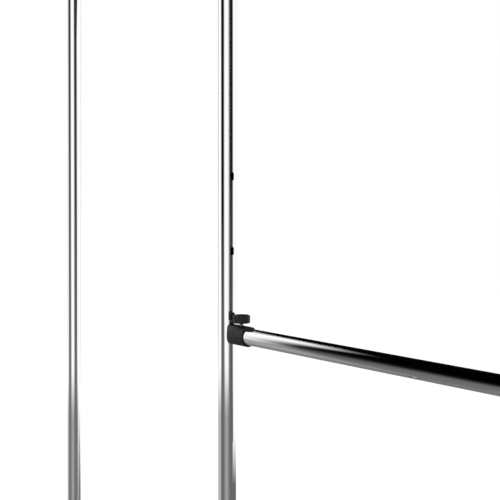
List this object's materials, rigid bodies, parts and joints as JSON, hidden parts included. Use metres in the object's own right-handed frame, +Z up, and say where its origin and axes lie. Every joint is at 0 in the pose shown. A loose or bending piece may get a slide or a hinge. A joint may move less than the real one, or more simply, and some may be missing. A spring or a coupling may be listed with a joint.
{
  "type": "rolling clothes rack",
  "caption": "Rolling clothes rack with chrome tube posts, a full-width top rail, and a height-adjustable lower rail held by black thumb-screw brackets.",
  "frame": {"origin": "on the floor, under the middle of the rack", "axes": "+Z up, +X along the rails towards the bay with the lower rail, -Y is the front"},
  "size_m": [1.213, 0.5092, 1.6951],
  "materials": {
    "chrome_tube": "bright chrome plate on steel tube",
    "black_moulding": "fine-textured moulded nylon",
    "zinc_steel": "bright zinc plate",
    "tyre_rubber": "moulded thermoplastic rubber",
    "hub_plastic": "moulded nylon"
  },
  "bodies": {
    "frame": {"foot_tube_left": "chrome_tube", "foot_tube_right": "chrome_tube", "base_stretcher": "chrome_tube", "foot_socket_front_left": "black_moulding", "foot_socket_front_right": "black_moulding", "foot_socket_rear_left": "black_moulding", "foot_socket_rear_right": "black_moulding", "base_tee_left": "black_moulding", "base_tee_centre": "black_moulding", "base_tee_right": "black_moulding", "post_left": "chrome_tube", "post_centre": "chrome_tube", "post_right": "chrome_tube", "top_rail_long": "chrome_tube", "top_rail_short": "chrome_tube", "top_elbow_left": "black_moulding", "top_tee_centre": "black_moulding", "top_elbow_right": "black_moulding", "base_fixing_screws": "zinc_steel", "top_fixing_screws": "zinc_steel", "caster_stem_front_left": "zinc_steel", "caster_stem_front_right": "zinc_steel", "caster_stem_rear_left": "zinc_steel", "caster_stem_rear_right": "zinc_steel"},
    "lower_rail_set": {"lower_rail": "chrome_tube", "rail_bracket_left": "black_moulding", "rail_bracket_right": "black_moulding"},
    "thumb_screw_set_left": {"thumb_knob_left": "black_moulding", "thumb_screw_left": "zinc_steel"},
    "thumb_screw_set_right": {"thumb_knob_right": "black_moulding", "thumb_screw_right": "zinc_steel"},
    "caster_front_left": {"caster_fork_front_left": "zinc_steel", "caster_axle_front_left": "zinc_steel", "swivel_balls_front_left": "zinc_steel", "wheel_bush_front_left": "zinc_steel"},
    "wheel_front_left": {"wheel_hub_front_left": "hub_plastic", "tyre_front_left": "tyre_rubber"},
    "brake_front_left": {"brake_pedal_front_left": "black_moulding"},
    "caster_front_right": {"caster_fork_front_right": "zinc_steel", "caster_axle_front_right": "zinc_steel", "swivel_balls_front_right": "zinc_steel", "wheel_bush_front_right": "zinc_steel"},
    "wheel_front_right": {"wheel_hub_front_right": "hub_plastic", "tyre_front_right": "tyre_rubber"},
    "caster_rear_left": {"caster_fork_rear_left": "zinc_steel", "caster_axle_rear_left": "zinc_steel", "swivel_balls_rear_left": "zinc_steel", "wheel_bush_rear_left": "zinc_steel"},
    "wheel_rear_left": {"wheel_hub_rear_left": "hub_plastic", "tyre_rear_left": "tyre_rubber"},
    "caster_rear_right": {"caster_fork_rear_right": "zinc_steel", "caster_axle_rear_right": "zinc_steel", "swivel_balls_rear_right": "zinc_steel", "wheel_bush_rear_right": "zinc_steel"},
    "wheel_rear_right": {"wheel_hub_rear_right": "hub_plastic", "tyre_rear_right": "tyre_rubber"},
    "brake_rear_right": {"brake_pedal_rear_right": "black_moulding"}
  },
  "joints": [
    {"name": "lower_rail_height", "type": "slide", "parent": "frame", "child": "lower_rail_set", "axis": [0, 0, 1], "range_m": [0, 0.208]},
    {"name": "thumb_screw_turn_left", "type": "hinge", "parent": "lower_rail_set", "child": "thumb_screw_set_left", "pos_m": [-0.0775, 0, 0.9469], "axis": [0, 0, 1], "range_deg": [0, 720]},
    {"name": "thumb_screw_turn_right", "type": "hinge", "parent": "lower_rail_set", "child": "thumb_screw_set_right", "pos_m": [0.5525, 0, 0.9469], "axis": [0, 0, 1], "range_deg": [0, 720]},
    {"name": "caster_swivel_front_left", "type": "hinge", "parent": "frame", "child": "caster_front_left", "pos_m": [-0.5875, -0.195, 0.056], "axis": [0, 0, 1], "continuous": true},
    {"name": "wheel_spin_front_left", "type": "hinge", "parent": "caster_front_left", "child": "wheel_front_left", "pos_m": [-0.5875, -0.217, 0.025], "axis": [1, 0, 0], "continuous": true},
    {"name": "brake_press_front_left", "type": "hinge", "parent": "caster_front_left", "child": "brake_front_left", "pos_m": [-0.5875, -0.221, 0.0545], "axis": [1, 0, 0], "range_deg": [0, 14]},
    {"name": "caster_swivel_front_right", "type": "hinge", "parent": "frame", "child": "caster_front_right", "pos_m": [0.5875, -0.195, 0.056], "axis": [0, 0, 1], "continuous": true},
    {"name": "wheel_spin_front_right", "type": "hinge", "parent": "caster_front_right", "child": "wheel_front_right", "pos_m": [0.5875, -0.217, 0.025], "axis": [1, 0, 0], "continuous": true},
    {"name": "caster_swivel_rear_left", "type": "hinge", "parent": "frame", "child": "caster_rear_left", "pos_m": [-0.5875, 0.195, 0.056], "axis": [0, 0, 1], "continuous": true},
    {"name": "wheel_spin_rear_left", "type": "hinge", "parent": "caster_rear_left", "child": "wheel_rear_left", "pos_m": [-0.5875, 0.217, 0.025], "axis": [1, 0, 0], "continuous": true},
    {"name": "caster_swivel_rear_right", "type": "hinge", "parent": "frame", "child": "caster_rear_right", "pos_m": [0.5875, 0.195, 0.056], "axis": [0, 0, 1], "continuous": true},
    {"name": "wheel_spin_rear_right", "type": "hinge", "parent": "caster_rear_right", "child": "wheel_rear_right", "pos_m": [0.5875, 0.217, 0.025], "axis": [1, 0, 0], "continuous": true},
    {"name": "brake_press_rear_right", "type": "hinge", "parent": "caster_rear_right", "child": "brake_rear_right", "pos_m": [0.5875, 0.221, 0.0545], "axis": [-1, 0, 0], "range_deg": [0, 14]}
  ]
}
